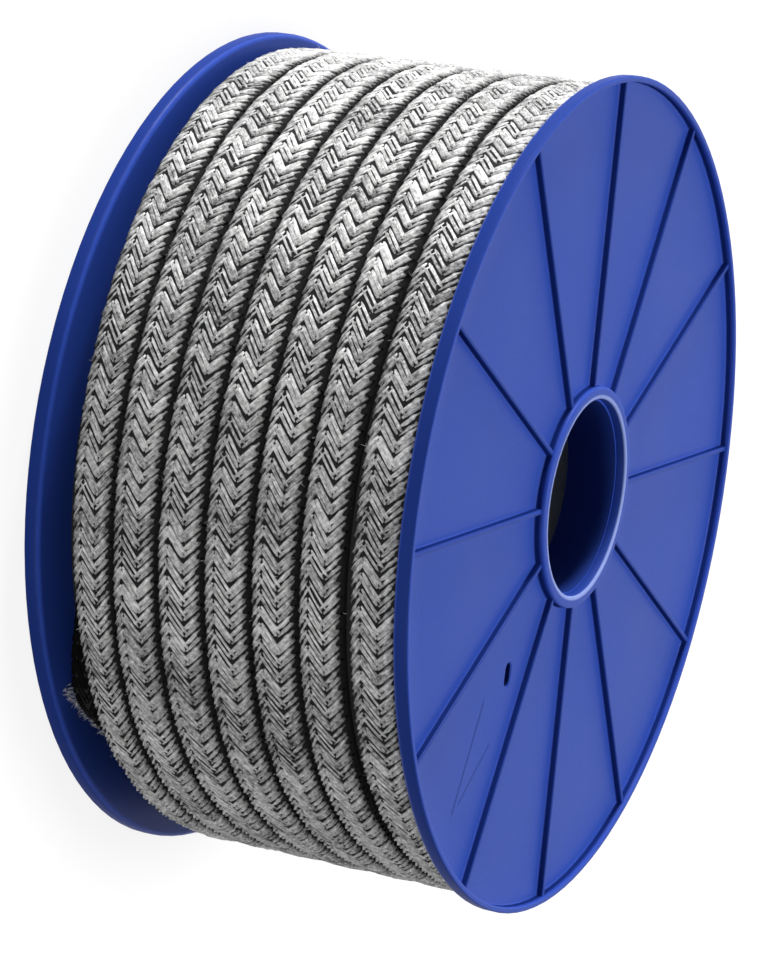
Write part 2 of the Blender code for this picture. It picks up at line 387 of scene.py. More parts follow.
def flangeColumns():
    # (rib, distance from its middle, share of its height), or (rib, share of the way on)
    half = flange["ribSection"]
    section = [(-away, rise) for away, rise in half[:0:-1]] + list(half)
    columns = []
    for rib in range(flange["ribs"]):
        columns += [(rib, away, rise, 0.0) for away, rise in section]
        steps = flange["between"] + 1
        columns += [(rib, section[-1][0], 0.0, step / steps) for step in range(1, steps)]
    return columns


def flangeMesh():
    profile = flangeProfile()
    reach = flange["ribSection"][-1][0]
    sector = math.tau / flange["ribs"]
    ribTop = flange["ribHeight"]
    columns = []
    for rib, away, rise, onward in flangeColumns():
        column = []
        for point, ribbed in profile:
            radius, height = point
            angle = flange["ribAngle"] + rib * sector + math.asin(away / radius)
            angle += onward * (sector - 2.0 * math.asin(reach / radius))
            if ribbed:
                height = max(height, ribTop * rise - fieldDepth)
            column.append(polar(radius, angle, height))
        columns.append(column)
    return skin("flange", columns, closedRound=True)


def slotCutter():
    # round-ended bar through the plate, flared where it meets the outer face
    length, width, flare = flange["slotLength"], flange["slotWidth"], flange["slotFlare"]
    levels = ((-reel["rim"], 0.0), (-fieldDepth - flare, 0.0), (-fieldDepth + flare, 2.0 * flare))
    columns = []
    for height, wider in levels:
        column = []
        radius = width / 2 + wider
        for step in range(flange["slotSteps"]):
            turn = (step + 0.5) * math.tau / flange["slotSteps"]
            along = math.copysign(length / 2 - width / 2, math.cos(turn))
            spot = Vector((along + radius * math.cos(turn), radius * math.sin(turn), height))
            spot.rotate(Matrix.Rotation(flange["slotTurn"], 3, "Z"))
            column.append(spot + Vector(polar(flange["slotRadius"], flange["slotAngle"], 0.0)))
        columns.append(column)
    return skin("slot", columns, capped=True)


def addFlanges(material):
    blank = addObject("flangeBlank", flangeMesh())
    cutter = addObject("slotBar", slotCutter())
    cut = blank.modifiers.new("slot", "BOOLEAN")
    cut.operation = "DIFFERENCE"
    cut.object = cutter
    moulded = takeResult(blank, "moulded")
    for extra in (blank, cutter):
        bpy.data.objects.remove(extra)
    shadeRound(moulded, flange["smoothTo"])
    turnOver = Matrix.Rotation(math.pi, 4, "X")
    for name, node, place in (
        ("ribbed_flange_top", "top_flange", Matrix.Translation((0.0, 0.0, reel["width"]))),
        ("ribbed_flange_bottom", "bottom_flange", turnOver),
    ):
        mesh = moulded.copy()
        mesh.transform(place)
        dress(addObject(name, mesh, material), "blue_plastic", node)


addFlanges(plasticMaterial())
print("flanges: done")

core = {
    "columns": 120,
    "rows": 8,
    "chamfer": 0.0004,
    "smoothTo": 30.0,
    "dark": (0.30, 0.31, 0.27, 1.0),
    "light": (0.46, 0.47, 0.42, 1.0),
    "joint": (0.012, 0.013, 0.013, 1.0),
    "jointPitch": 0.046,     # the board is wound from a strip
    "jointWidth": 0.02,      # share of the pitch
    "roughness": (0.8, 0.95),
    "bump": (0.5, 0.0003),
}


def boardMaterial():
    material, tree, shader = newMaterial("greyBoard")
    axes = objectAxes(tree)
    angle = maths(tree, "DIVIDE", maths(tree, "ARCTAN2", axes[1], axes[0]), math.tau)
    climb = maths(tree, "DIVIDE", axes[2], core["jointPitch"])
    lap = maths(tree, "FRACT", maths(tree, "ADD", angle, climb))
    joint = remap(tree, lap, 0.0, core["jointWidth"], 1.0, 0.0)
    pulp = objectNoise(tree, 700.0, 5.0, 0.65)
    colour = mixColour(tree, pulp, core["dark"], core["light"])
    colour = mixColour(tree, joint, colour, core["joint"])
    tree.links.new(colour, shader.inputs["Base Color"])
    tree.links.new(spreadNoise(tree, pulp, *core["roughness"]), shader.inputs["Roughness"])
    bumped(tree, shader, maths(tree, "SUBTRACT", pulp, joint), *core["bump"])
    return material


def addCore():
    inner = spigotRadius + reel["gap"]
    outer = inner + reel["coreWall"]
    edge = core["chamfer"]
    outline = [(inner, lowerFace + edge), (inner + edge, lowerFace),
               (outer - edge, lowerFace), (outer, lowerFace + edge),
               (outer, upperFace - edge), (outer - edge, upperFace),
               (inner + edge, upperFace), (inner, upperFace - edge)]
    outline += [(inner, upperFace + (lowerFace - upperFace) * step / core["rows"])
                for step in range(1, core["rows"])]
    columns = [
        [polar(radius, step * math.tau / core["columns"], height) for radius, height in outline]
        for step in range(core["columns"])
    ]
    mesh = skin("coreTube", columns, closedRound=True)
    shadeRound(mesh, core["smoothTo"])
    dress(addObject("board_core", mesh, boardMaterial()), "grey_board", "core_tube")


addCore()
print("core: done")

turns = {
    "size": 0.0127,          # side of the packing
    "pitch": 0.0128,
    "lastSlack": 0.0012,     # loose place before the last turn
    "margin": 0.0027,        # packing below the flange's edge
    "corner": 0.0023,        # rounding of a turn's section
    "crown": 0.0004,         # rise of its middle
    "crossingStart": math.radians(40.0),
    "crossingSpan": math.radians(85.0),
    "creep": 0.3,            # share of the first turn's climb that is spread round the reel
    "hold": 1.8,             # how long the last turn keeps its height
    "wander": 0.7,           # of the free edge, as a share of the free width
    "wanderPhase": math.radians(15.0),
    "wanderDecay": 0.2,
    "thinnest": 0.0006,
    "wideGap": 0.0015,
    "wideGapAngle": math.radians(28.0),
    "wideGapReach": math.radians(70.0),
    "columns": 320,
    "seamDepth": 1.5,        # depth of the seams, in roundings of the section
    "cornerSteps": 6,
    "between": (0.26, 0.34, 0.42),   # shares of the width with points beyond a corner
    "sliver": 1e-5,          # keeps the first seam's points apart
    "under": 0.0006,         # dark body below the strands
    "smoothTo": 60.0,
}
turnCount = int((upperFace - lowerFace - turns["lastSlack"]) / turns["pitch"])
freeWidth = upperFace - lowerFace - turnCount * turns["pitch"] - turns["lastSlack"]
firstEdge = lowerFace + freeWidth
windingRadius = reel["radius"] - turns["margin"]
layerRadius = windingRadius - turns["size"]
seamRadius = windingRadius - turns["seamDepth"] * turns["corner"]
windingBore = spigotRadius + 2.0 * reel["gap"] + reel["coreWall"]


def slide(climbed, rounds):
    # share of a pitch that a seam has moved at an angle of its round
    creep = turns["creep"] * (1.0 - rounds / (turnCount - 1))
    crossed = smoothStep(climbed / turns["crossingSpan"])
    return (1.0 - creep) * crossed + creep * climbed / math.tau


def freeEdge(angle):
    return firstEdge + turns["wander"] * freeWidth * math.sin(angle + turns["wanderPhase"])


def seamAt(travel):
    # height of the seam that has gone this far round since it left the free edge
    angle = turns["crossingStart"] + travel
    if travel <= 0.0:
        return freeEdge(angle)
    rounds = min(int(travel / math.tau + 1e-9), turnCount)
    if rounds == turnCount:
        return upperFace
    pitches = rounds + slide(travel - rounds * math.tau, rounds)
    wander = (freeEdge(angle) - firstEdge) * turns["wanderDecay"] ** pitches
    slack = turns["lastSlack"] * max(pitches - (turnCount - 1), 0.0)
    height = firstEdge + turns["pitch"] * pitches + slack + wander
    if height < freeEdge(angle) + turns["thinnest"]:
        return freeEdge(angle)
    if height > upperFace - turns["thinnest"]:
        return upperFace
    return height


def gapAt(travel):
    # the seam before the last turn gapes on the side towards the loose end
    middle = (turnCount - 1) * math.tau + turns["wideGapAngle"] - turns["crossingStart"]
    away = abs(travel - middle) / turns["wideGapReach"]
    return turns["wideGap"] * smoothStep(1.0 - away) if away < 1.0 else 0.0


def turnEdges(travel):
    # (angle, left height, left radius, right height, right radius, grown share)
    angle = turns["crossingStart"] + travel
    left, right = seamAt(travel - math.tau), seamAt(travel)
    left += gapAt(travel - math.tau) / 2
    right -= gapAt(travel) / 2
    leftRadius = rightRadius = seamRadius
    grown = 1.0
    sunk = seamRadius - layerRadius
    if travel < math.tau:
        grown = smoothStep(slide(travel, 0)) if right > left else 1.0
        leftRadius -= sunk * (1.0 - grown)
    elif travel >= turnCount * math.tau:
        climbed = travel - turnCount * math.tau
        grown = smoothStep(turns["hold"] * (1.0 - slide(climbed, turnCount - 1)))
        rightRadius -= sunk * (1.0 - grown)
    return angle, left, leftRadius, right, rightRadius, grown


def sectionRise(share):
    # height of the packing's face above its seams, as a share of the full rise
    side = turns["corner"] / turns["pitch"]
    shoulder = 1.0 - turns["crown"] / (windingRadius - seamRadius)
    near = min(share, 1.0 - share)
    if near < side:
        return shoulder * math.sqrt(max(0.0, 1.0 - (1.0 - near / side) ** 2))
    swell = math.sin(math.pi / 2 * (near - side) / (0.5 - side))
    return shoulder + (1.0 - shoulder) * swell


def widthShares():
    # where a turn's section has its points, closest at the rounded corners
    steps = turns["cornerSteps"]
    half = [turns["corner"] / turns["pitch"] * (1.0 - math.cos(step * math.pi / (2 * steps)))
            for step in range(steps + 1)] + list(turns["between"])
    return half + [0.5] + [1.0 - share for share in half[::-1]]


bodyShares = widthShares()


def bodyColumn(climbed):
    angle = turns["crossingStart"] + climbed
    column = [polar(windingBore, angle, lowerFace), polar(layerRadius, angle, lowerFace)]
    column.append(polar(layerRadius, angle, seamAt(climbed - math.tau) - turns["sliver"]))
    full = windingRadius - seamRadius
    for strip in range(turnCount + 1):
        edges = turnEdges(climbed + strip * math.tau)
        _, left, leftRadius, right, rightRadius, grown = edges
        width = max(right - left, 0.0)
        for share in bodyShares:
            base = leftRadius + (rightRadius - leftRadius) * share - turns["under"]
            if width < turns["thinnest"]:
                base, rise = seamRadius - turns["under"], 0.0
            else:
                rise = full * grown * sectionRise(share)
            column.append(polar(base + rise, angle, min(left + width * share, upperFace)))
    column.append(polar(windingBore, angle, upperFace))
    return column


def addTurnBody(material):
    columns = [bodyColumn(step * math.tau / turns["columns"]) for step in range(turns["columns"])]
    last = [Vector(point) for point in bodyColumn(math.tau)]
    mesh = skin("turnBody", columns + [last])
    shadeRound(mesh, turns["smoothTo"])
    dress(addObject("packing_body", mesh, material), "graphite_braid", "packing_winding")


braid = {
    "perTurn": 164,          # chevrons round the reel
    # floats of a chevron: (width share, distance along) at each end, width, and rings
    # that lie closest where the face turns down to a seam
    "floats": (((0.0, 0.0022), (0.29, -0.0031), 0.00234, (0.0, 0.08, 0.27, 0.62, 1.0)),
               ((0.25, -0.0032), (0.65, 0.0032), 0.00254, (0.0, 0.16, 0.84, 1.0)),
               ((0.60, 0.0031), (1.0, -0.0022), 0.00280, (0.0, 0.42, 0.72, 0.92, 1.0))),
    # a float's section: two plies with a groove between them
    "section": ((-1.0, -1.0), (-0.64, 0.0), (0.0, -0.62), (0.64, 0.0), (1.0, -1.0)),
    "height": 0.00085,
    "dive": 0.00034,         # how far a float's ends go under its neighbours
    "slim": 0.05,            # share of its width that a float loses at its ends
    "variants": 7,
    "shift": 0.00022,        # scatter of a variant's floats
    "swell": (0.92, 1.08),
    "lift": 0.00012,
    "twist": 0.14,
    "jitter": 0.00024,       # scatter of the chevrons along a turn
    "stretch": (0.94, 1.06),
    "rise": (0.96, 1.03),
    "seed": 7,
    "pathSteps": 240,
    "thinnestShare": 0.30,   # a turn narrower or lower than this carries no chevrons
    "lowestShare": 0.2,
}


def surfaceAt(share):
    # (height over the seams, slope) of a full turn's face
    full, step = windingRadius - seamRadius, 0.01
    low, high = max(share - step, 0.0), min(share + step, 1.0)
    slope = full * (sectionRise(high) - sectionRise(low)) / ((high - low) * turns["pitch"])
    return full * sectionRise(share), slope


def addFloat(bm, weave, bundle, chance):
    # one flat bundle of two plies, its ends diving under the next ones
    (startWide, startAlong), (endWide, endAlong), wide, rings = bundle
    startAlong += chance.uniform(-1.0, 1.0) * braid["shift"]
    endAlong += chance.uniform(-1.0, 1.0) * braid["shift"]
    wide *= chance.uniform(*braid["swell"])
    lift = chance.uniform(-1.0, 1.0) * braid["lift"]
    twist = chance.uniform(-1.0, 1.0) * braid["twist"]
    reach = (endWide - startWide) * turns["pitch"]
    length = math.hypot(endAlong - startAlong, reach)
    previous = None
    for share in rings:
        place = startWide + (endWide - startWide) * share
        along = startAlong + (endAlong - startAlong) * share
        rise, slope = surfaceAt(place)
        normal = Vector((0.0, -slope, 1.0)).normalized()
        heading = Vector((endAlong - startAlong, reach, reach * slope))
        across = heading.cross(normal).normalized()
        end = abs(2.0 * share - 1.0) ** 4
        # wider where the face falls away, so that the floats stay side by side
        steep = math.hypot(heading.y, heading.z) / heading.length * length / abs(heading.y)
        half = wide * steep * (1.0 - braid["slim"] * end) / 2
        middle = Vector((along, (place - 0.5) * turns["pitch"], rise))
        ring = []
        for side, height in braid["section"]:
            high = height * braid["height"] - braid["dive"] * end
            if height > -1.0:       # the feet stay where they are
                high += lift + twist * side * braid["height"]
            spot = middle + across * side * half + normal * high
            spot.z -= spot.x * spot.x / (2.0 * windingRadius)
            ring.append(bm.verts.new(spot))
        if previous:
            for side in range(len(ring)):
                after = (side + 1) % len(ring)
                face = bm.faces.new((previous[side], previous[after], ring[after], ring[side]))
                marks = ((mark, side), (mark, side + 1), (share, side + 1), (share, side))
                for loop, (done, edge) in zip(face.loops, marks):
                    # millimetres along the float, and the share of the way round it
                    loop[weave].uv = (done * length * 1000.0, edge / len(ring))
        else:
            bm.faces.new(ring)
        previous, mark = ring, share
    bm.faces.new(previous)


def chevronSet():
    # a few chevrons that differ a little, to be strewn along the turns
    group = bpy.data.collections.new("chevrons")
    bpy.context.scene.collection.children.link(group)
    chance = random.Random(braid["seed"])
    for number in range(braid["variants"]):
        bm = bmesh.new()
        weave = bm.loops.layers.uv.new("weave")
        for bundle in braid["floats"]:
            addFloat(bm, weave, bundle, chance)
        bmesh.ops.recalc_face_normals(bm, faces=bm.faces)
        mesh = bpy.data.meshes.new("chevron")
        bm.to_mesh(mesh)
        bm.free()
        mesh.shade_smooth()
        group.objects.link(bpy.data.objects.new("chevron" + str(number), mesh))
    return group


def dropGroup(group):
    for leftover in list(group.objects):
        bpy.data.objects.remove(leftover)
    bpy.data.collections.remove(group)


def pathMesh(name, points):
    # a polyline that carries how each chevron lies: along, across and its scale
    mesh = bpy.data.meshes.new(name)
    mesh.from_pydata([point["spot"] for point in points],
                     [(index, index + 1) for index in range(len(points) - 1)], [])
    for key in ("along", "across", "scale"):
        layer = mesh.attributes.new(key, "FLOAT_VECTOR", "POINT")
        layer.data.foreach_set("vector", [axis for point in points for axis in point[key]])
    return mesh


def pathPoint(angle, left, leftRadius, right, rightRadius, grown):
    start = Vector(polar(leftRadius, angle, left))
    finish = Vector(polar(rightRadius, angle, right))
    return {"spot": (start + finish) / 2, "across": (finish - start).normalized(),
            "scale": (1.0, (finish - start).length / turns["pitch"], grown)}


def alongPath(name, points):
    for index, point in enumerate(points):
        before = points[max(index - 1, 0)]["spot"]
        after = points[min(index + 1, len(points) - 1)]["spot"]
        point["along"] = (after - before).normalized()
    return pathMesh(name, points)


def turnPath():
    step = math.tau / braid["pathSteps"]
    points = []
    for number in range((turnCount + 1) * braid["pathSteps"]):
        edges = turnEdges(number * step)
        _, left, _, right, _, grown = edges
        wide = right - left > braid["thinnestShare"] * turns["pitch"]
        if wide and grown > braid["lowestShare"]:
            points.append(pathPoint(*edges))
    return alongPath("turnPath", points)


def startTree(name, inputs):
    tree = bpy.data.node_groups.new(name, "GeometryNodeTree")
    for label, kind in (("Geometry", "Geometry"),) + inputs:
        tree.interface.new_socket(label, in_out="INPUT", socket_type="NodeSocket" + kind)
    tree.interface.new_socket("Geometry", in_out="OUTPUT", socket_type="NodeSocketGeometry")
    return tree, tree.nodes.new("NodeGroupInput").outputs


def chanceNode(tree, seed, offset, low, high, kind="FLOAT"):
    # a random value per point, with a seed of its own
    own = addNode(tree, "FunctionNodeIntegerMath", {"operation": "ADD"}, i0=seed, i1=offset)
    node = addNode(tree, "FunctionNodeRandomValue", {"data_type": kind})
    wanted = {"FLOAT": "VALUE", "INT": "INT"}[kind]
    for name, value in (("Min", low), ("Max", high)):
        socket = [entry for entry in node.inputs if entry.name == name and entry.type == wanted][0]
        if isinstance(value, bpy.types.NodeSocket):
            tree.links.new(value, socket)
        else:
            socket.default_value = value
    tree.links.new(own.outputs[0], node.inputs["Seed"])
    return [entry for entry in node.outputs if entry.type == wanted][0]


def endTree(tree, given, copies):
    # copies with a tone of their own become one mesh in the finish
    tone = addNode(tree, "GeometryNodeStoreNamedAttribute",
                   {"data_type": "FLOAT", "domain": "INSTANCE"}, Geometry=copies,
                   Name="tone", Value=chanceNode(tree, given["Seed"], 4, 0.0, 1.0))
    real = addNode(tree, "GeometryNodeRealizeInstances", None, Geometry=tone.outputs[0])
    coated = addNode(tree, "GeometryNodeSetMaterial", None, Geometry=real.outputs[0],
                     Material=given["Finish"])
    tree.links.new(coated.outputs[0], tree.nodes.new("NodeGroupOutput").inputs[0])


def braidTree():
    tree, given = startTree("braidAlongPath", (
        ("Chevrons", "Collection"), ("Kinds", "Int"), ("Spacing", "Float"),
        ("Jitter", "Float"), ("Seed", "Int"), ("Finish", "Material")))

    def stored(name):
        return addNode(tree, "GeometryNodeInputNamedAttribute", {"data_type": "FLOAT_VECTOR"},
                       Name=name).outputs[0]

    def chance(offset, low, high, kind="FLOAT"):
        return chanceNode(tree, given["Seed"], offset, low, high, kind)

    curve = addNode(tree, "GeometryNodeMeshToCurve", None, Mesh=given["Geometry"]).outputs[0]
    spots = addNode(tree, "GeometryNodeResampleCurve", {"mode": "LENGTH"}, Curve=curve,
                    Length=given["Spacing"]).outputs[0]
    back = maths(tree, "MULTIPLY", given["Jitter"], -1.0)
    push = addNode(tree, "ShaderNodeVectorMath", {"operation": "SCALE"}, i0=stored("along"),
                   Scale=chance(1, back, given["Jitter"])).outputs[0]
    moved = addNode(tree, "GeometryNodeSetPosition", None, Geometry=spots, Offset=push).outputs[0]
    turned = addNode(tree, "FunctionNodeAxesToRotation",
                     {"primary_axis": "Y", "secondary_axis": "X"},
                     Primary_Axis=stored("across"), Secondary_Axis=stored("along")).outputs[0]
    spread = addNode(tree, "ShaderNodeCombineXYZ", None, X=chance(2, *braid["stretch"]),
                     Y=1.0, Z=chance(3, *braid["rise"])).outputs[0]
    scale = addNode(tree, "ShaderNodeVectorMath", {"operation": "MULTIPLY"}, i0=stored("scale"),
                    i1=spread).outputs[0]
    kinds = addNode(tree, "GeometryNodeCollectionInfo", {"transform_space": "ORIGINAL"},
                    Collection=given["Chevrons"], Separate_Children=True, Reset_Children=True)
    last = addNode(tree, "FunctionNodeIntegerMath", {"operation": "SUBTRACT"},
                   i0=given["Kinds"], i1=1).outputs[0]
    copies = addNode(tree, "GeometryNodeInstanceOnPoints", None, Points=moved,
                     Instance=kinds.outputs[0], Pick_Instance=True,
                     Instance_Index=chance(5, 0, last, "INT"), Rotation=turned, Scale=scale)
    endTree(tree, given, copies.outputs[0])
    return tree


def grow(name, path, tree, **inputs):
    # runs the tree on a path and keeps the plain mesh
    source = addObject(name + "Path", path)
    modifier = source.modifiers.new("grow", "NODES")
    modifier.node_group = tree
    for socket in tree.interface.items_tree:
        if getattr(socket, "in_out", "") == "INPUT" and socket.name in inputs:
            modifier[socket.identifier] = inputs[socket.name]
    mesh = takeResult(source, name)
    bpy.data.objects.remove(source)
    mesh.shade_smooth()
    piece = bpy.data.objects.new(name, mesh)
    bpy.context.scene.collection.objects.link(piece)
    return piece


graphite = {
    "dark": (0.06, 0.06, 0.06, 1.0),
    "light": (0.86, 0.86, 0.85, 1.0),
    # a darker copy of the yarn for the cut end, which lies in shade: painted shade
    "shadedEnd": ((0.015, 0.015, 0.015, 1.0), (0.09, 0.09, 0.09, 1.0)),
    # painted shade in the seams: its colour, and the radii over which it gives way to the yarn
    "seamShade": (0.006, 0.006, 0.006, 1.0),
    "seamShadeBand": (seamRadius + 0.0016, windingRadius - 0.0004),
    # a strand's own tone moves the streaks of its fibres along and across
    "toneShift": (37.0, 11.0),
    "streak": (0.35, 16.0, 1.0),     # fine across a float and long along it
    # shares of the strand's tone, its fibres with their flecks, and the wear, and their range
    "mix": (0.22, 2.6, 0.5),
    "mixBand": (0.62, 1.35),
    "metallic": 0.06,
    "specular": 0.18,
    "roughness": (0.55, 0.30),
    "bump": (0.6, 0.00025),
    "body": ((0.008, 0.008, 0.009, 1.0), (0.03, 0.03, 0.03, 1.0)),
    "bodyRoughness": (0.6, 0.85),
    "bodySpecular": 0.05,
    "bodyBump": (0.6, 0.0003),
}


def graphiteMaterial(name, dark, light, shadeSeams=True):
    material, tree, shader = newMaterial(name)
    weave = addNode(tree, "ShaderNodeUVMap", {"uv_map": "weave"}).outputs[0]
    tone = addNode(tree, "ShaderNodeAttribute", {"attribute_name": "tone"}).outputs["Fac"]
    along, across = (maths(tree, "MULTIPLY", tone, far) for far in graphite["toneShift"])
    shift = addNode(tree, "ShaderNodeCombineXYZ", None, X=along, Y=across, Z=0.0).outputs[0]
    moved = addNode(tree, "ShaderNodeVectorMath", {"operation": "ADD"}, i0=weave, i1=shift)
    stretched = addNode(tree, "ShaderNodeMapping", None, Vector=moved.outputs[0],
                        Scale=graphite["streak"]).outputs[0]
    fibres = addNode(tree, "ShaderNodeTexNoise", None, Vector=stretched, Scale=1.0, Detail=3.0,
                     Roughness=0.6).outputs[0]
    flecked = maths(tree, "MULTIPLY", fibres, objectNoise(tree, 900.0, 3.0, 0.7))
    worn = objectNoise(tree, 55.0)
    ofTone, ofFibres, ofWear = graphite["mix"]
    share = maths(tree, "ADD", maths(tree, "MULTIPLY", tone, ofTone),
                  maths(tree, "MULTIPLY", flecked, ofFibres))
    share = maths(tree, "ADD", share, maths(tree, "MULTIPLY", worn, ofWear))
    share = remap(tree, share, *graphite["mixBand"], 0.0, 1.0)
    colour = mixColour(tree, share, dark, light)
    shader.inputs["Specular IOR Level"].default_value = graphite["specular"]
    if shadeSeams:
        # painted shade: dark down in the seams and between the strands, with no reflection there,
        # and the yarn's own colour at the crests
        away = axisDistance(tree, objectAxes(tree))
        outOfShade = remap(tree, away, *graphite["seamShadeBand"], 0.0, 1.0)
        colour = mixColour(tree, outOfShade, graphite["seamShade"], colour)
        tree.links.new(maths(tree, "MULTIPLY", outOfShade, graphite["specular"]),
                       shader.inputs["Specular IOR Level"])
    tree.links.new(colour, shader.inputs["Base Color"])
    tree.links.new(spreadNoise(tree, fibres, *graphite["roughness"]), shader.inputs["Roughness"])
    shader.inputs["Metallic"].default_value = graphite["metallic"]
    bumped(tree, shader, fibres, *graphite["bump"])
    return material


def bodyMaterial():
    material, tree, shader = newMaterial("graphiteShadow")
    speck = objectNoise(tree, 900.0)
    tree.links.new(mixColour(tree, speck, *graphite["body"]), shader.inputs["Base Color"])
    tree.links.new(spreadNoise(tree, speck, *graphite["bodyRoughness"]),
                   shader.inputs["Roughness"])
    shader.inputs["Specular IOR Level"].default_value = graphite["bodySpecular"]
    bumped(tree, shader, speck, *graphite["bodyBump"])
    return material


turnShadow = bodyMaterial()
addTurnBody(turnShadow)
print("turns: body done")
graphiteYarn = graphiteMaterial("graphiteYarn", graphite["dark"], graphite["light"])
# the cut end's yarn is a darker copy: painted shade
shadedEndYarn = graphiteMaterial("shadedEndYarn", *graphite["shadedEnd"])
looseFibre = graphiteMaterial("looseFibre", graphite["dark"], graphite["light"], shadeSeams=False)
chevrons = chevronSet()
alongTree = braidTree()
spacing = math.tau * seamRadius / braid["perTurn"]
strands = grow("packing_braid", turnPath(), alongTree, Chevrons=chevrons,
               Kinds=braid["variants"], Spacing=spacing, Jitter=braid["jitter"],
               Seed=braid["seed"], Finish=graphiteYarn)
dress(strands, "graphite_braid", "packing_winding")
print("turns: braid done,", countTriangles(strands), "triangles")

cutEnd = {
    "angle": math.radians(47.5),
    "rise": math.radians(24.0),      # it climbs from the layer below over this angle
    "depth": 0.0008,
    "slant": math.radians(28.0),
    "columns": 40,
    "overrun": math.radians(9.0),    # made longer than needed, then cut
    "strip": 0.0032,                 # height of the frayed face
    "stripSteps": 8,
    "density": 6.0e6,                # of its loose fibres, per square metre
    "spread": 0.55,
    "shortest": 0.0007,
    "longest": 0.0018,
    "seed": 21,
}


def endEdges(share):
    # the strip between the flange and the first turn, as turnEdges gives a turn
    angle = cutEnd["angle"] - cutEnd["rise"] + share * (cutEnd["rise"] + cutEnd["overrun"])
    climbed = smoothStep(1.0 - (cutEnd["angle"] - angle) / cutEnd["rise"])
    top = layerRadius - reel["gap"] + climbed * (turns["size"] - cutEnd["depth"])
    radius = top - (windingRadius - seamRadius)
    left = lowerFace + reel["gap"]
    right = max(freeEdge(angle), left + turns["corner"]) + turns["under"]
    return angle, left, radius, right, radius, 1.0


def endColumn(share):
    angle, left, radius, right, _, _ = endEdges(share)
    bottom = layerRadius - turns["corner"]
    column = [polar(bottom, angle, left)]
    for place in bodyShares:
        rise = (windingRadius - seamRadius) * sectionRise(place) - turns["under"]
        column.append(polar(radius + rise, angle, left + (right - left) * place))
    column.append(polar(bottom, angle, right))
    return column


def cutAcross(mesh):
    # the knife's slanted cut, closed again
    middle = lowerFace + turns["size"] / 2
    outwards = Vector(polar(1.0, cutEnd["angle"], 0.0))
    around = Vector(polar(1.0, cutEnd["angle"] + math.pi / 2, 0.0))
    line = around / math.tan(cutEnd["slant"]) + Vector((0.0, 0.0, 1.0))
    normal = line.cross(outwards).normalized()
    normal *= math.copysign(1.0, normal.dot(around))
    bm = bmesh.new()
    bm.from_mesh(mesh)
    bmesh.ops.bisect_plane(bm, geom=bm.verts[:] + bm.edges[:] + bm.faces[:], dist=1e-6,
                           plane_co=outwards * layerRadius + Vector((0.0, 0.0, middle)),
                           plane_no=normal, clear_outer=True)
    bmesh.ops.holes_fill(bm, edges=bm.edges, sides=0)
    bmesh.ops.recalc_face_normals(bm, faces=bm.faces)
    bm.to_mesh(mesh)
    bm.free()


def frayedFace():
    # a strip along the cut that the loose fibres grow from, facing onwards
    middle = lowerFace + turns["size"] / 2
    _, left, radius, right, _, _ = endEdges(1.0)
    top = radius + windingRadius - seamRadius
    bm = bmesh.new()
    rows = []
    for step in range(cutEnd["stripSteps"] + 1):
        height = left + (right - left) * step / cutEnd["stripSteps"]
        angle = cutEnd["angle"] + (height - middle) / math.tan(cutEnd["slant"]) / top
        rows.append([bm.verts.new(polar(top - cutEnd["strip"], angle, height)),
                     bm.verts.new(polar(top, angle, height))])
    for first, second in zip(rows, rows[1:]):
        bm.faces.new((first[0], second[0], second[1], first[1]))
    mesh = bpy.data.meshes.new("frayedFace")
    bm.to_mesh(mesh)
    bm.free()
    return mesh


fibre = {
    "sides": 3,
    # rings up a fibre of length 1: (height, lean, share of the radius)
    "rings": ((0.0, 0.0, 1.0), (0.34, 0.05, 0.95), (0.70, 0.19, 0.8), (1.0, 0.40, 0.45)),
    "radius": 0.045,
    "fuzzDensity": 9000.0,
    "fuzzShortest": 0.0006,
    "fuzzLongest": 0.0016,
    "fuzzSpread": 1.25,
    "seed": 33,
}


def fibreMesh():
    # one bent fibre of unit length, standing on its root
    rings = []
    for height, lean, share in fibre["rings"]:
        ring = []
        for side in range(fibre["sides"]):
            x, y, _ = polar(share * fibre["radius"], side * math.tau / fibre["sides"], 0.0)
            ring.append((x + lean, y, height))
        rings.append(ring)
    return skin("fibre", rings, weld=1e-5, capped=True)


def fibreTree():
    tree, given = startTree("fibresOnFaces", (
        ("Fibre", "Object"), ("Density", "Float"), ("Shortest", "Float"), ("Longest", "Float"),
        ("Spread", "Float"), ("Seed", "Int"), ("Finish", "Material")))
    strewn = addNode(tree, "GeometryNodeDistributePointsOnFaces", None, Mesh=given["Geometry"],
                     Density=given["Density"], Seed=given["Seed"])
    lean = chanceNode(tree, given["Seed"], 1, maths(tree, "MULTIPLY", given["Spread"], -1.0),
                      given["Spread"])
    spin = chanceNode(tree, given["Seed"], 2, 0.0, math.tau)
    turn = addNode(tree, "ShaderNodeCombineXYZ", None, X=lean, Y=0.0, Z=spin).outputs[0]
    turned = addNode(tree, "FunctionNodeRotateRotation", {"rotation_space": "LOCAL"},
                     Rotation=strewn.outputs["Rotation"], Rotate_By=turn).outputs[0]
    size = chanceNode(tree, given["Seed"], 3, given["Shortest"], given["Longest"])
    scale = addNode(tree, "ShaderNodeCombineXYZ", None, X=size, Y=size, Z=size).outputs[0]
    shape = addNode(tree, "GeometryNodeObjectInfo", {"transform_space": "ORIGINAL"},
                    Object=given["Fibre"])
    copies = addNode(tree, "GeometryNodeInstanceOnPoints", None, Points=strewn.outputs[0],
                     Instance=shape.outputs["Geometry"], Rotation=turned, Scale=scale)
    endTree(tree, given, copies.outputs[0])
    return tree


